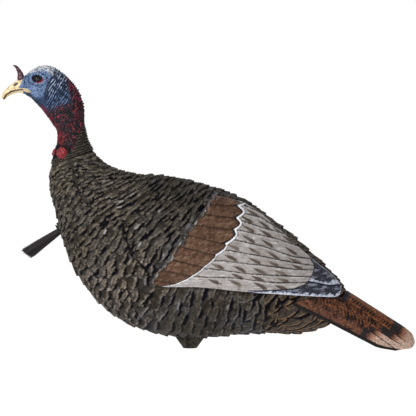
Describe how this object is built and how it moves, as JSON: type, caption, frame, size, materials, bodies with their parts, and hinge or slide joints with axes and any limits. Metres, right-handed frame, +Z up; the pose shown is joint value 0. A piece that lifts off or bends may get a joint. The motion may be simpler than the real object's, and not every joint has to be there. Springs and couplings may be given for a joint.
{
  "type": "turkey decoy",
  "caption": "Life-size moulded turkey hunting decoy on a stake socket, with a turning, removable head, fluttering wings, plug-in tail and bristle beard.",
  "frame": {"origin": "centre of the stake bore at its mouth, on the underside of the keel", "axes": "+Z up, -X towards the bill, +X towards the tail, -Y the bird's left side"},
  "size_m": [0.7412, 0.241, 0.5111],
  "materials": {
    "plumage_plastic": "moulded plastic painted in dark brown, black and grey feathers",
    "head_plastic": "moulded plastic painted blue, white and red",
    "eye_plastic": "glossy black",
    "wing_plastic": "moulded plastic painted rust, tan and slate",
    "tail_plastic": "moulded plastic painted rust with dark bars and a tan tip",
    "bristle": "stiff black-brown bristles",
    "black_rubber": "matt rubber",
    "black_nylon": "unpainted nylon",
    "zinc_steel": "zinc plated"
  },
  "bodies": {
    "body": {"left_shell": "plumage_plastic", "right_shell": "plumage_plastic", "stake_socket": "black_nylon", "socket_screws": "zinc_steel", "neck_socket": "black_nylon", "left_wing_stud": "black_nylon", "right_wing_stud": "black_nylon", "wing_stud_nuts": "zinc_steel", "tail_socket": "black_nylon", "beard_grommet": "black_rubber"},
    "neck_plug": {"neck_plug": "black_nylon", "plug_o_ring": "black_rubber", "head_washer": "zinc_steel", "head_screw": "zinc_steel"},
    "head": {"head_shell": "head_plastic", "head_bush": "black_nylon", "left_eye": "eye_plastic", "right_eye": "eye_plastic"},
    "left_wing": {"left_wing": "wing_plastic", "left_wing_cup": "black_nylon"},
    "right_wing": {"right_wing": "wing_plastic", "right_wing_cup": "black_nylon"},
    "tail": {"tail_fan": "tail_plastic", "tail_friction_pad": "black_rubber"},
    "beard": {"beard": "bristle", "beard_ferrule": "black_nylon"}
  },
  "joints": [
    {"name": "neck_pull", "type": "slide", "parent": "body", "child": "neck_plug", "axis": [-0.318, 0, 0.9481], "range_m": [0, 0.08]},
    {"name": "head_turn", "type": "hinge", "parent": "neck_plug", "child": "head", "pos_m": [-0.20486, 0, 0.34698], "axis": [-0.318, 0, 0.9481], "range_deg": [-35, 35]},
    {"name": "left_wing_flutter", "type": "hinge", "parent": "body", "child": "left_wing", "pos_m": [-0.00893, -0.10952, 0.18734], "axis": [-0.5967, -0.212, -0.774], "range_deg": [0, 12]},
    {"name": "right_wing_flutter", "type": "hinge", "parent": "body", "child": "right_wing", "pos_m": [-0.00893, 0.10952, 0.18734], "axis": [0.5967, -0.212, 0.774], "range_deg": [0, 12]},
    {"name": "tail_pull", "type": "slide", "parent": "body", "child": "tail", "axis": [0.8832, 0, -0.4689], "range_m": [0, 0.075]},
    {"name": "beard_pull", "type": "slide", "parent": "body", "child": "beard", "axis": [-0.8241, 0, -0.5664], "range_m": [0, 0.03]}
  ]
}
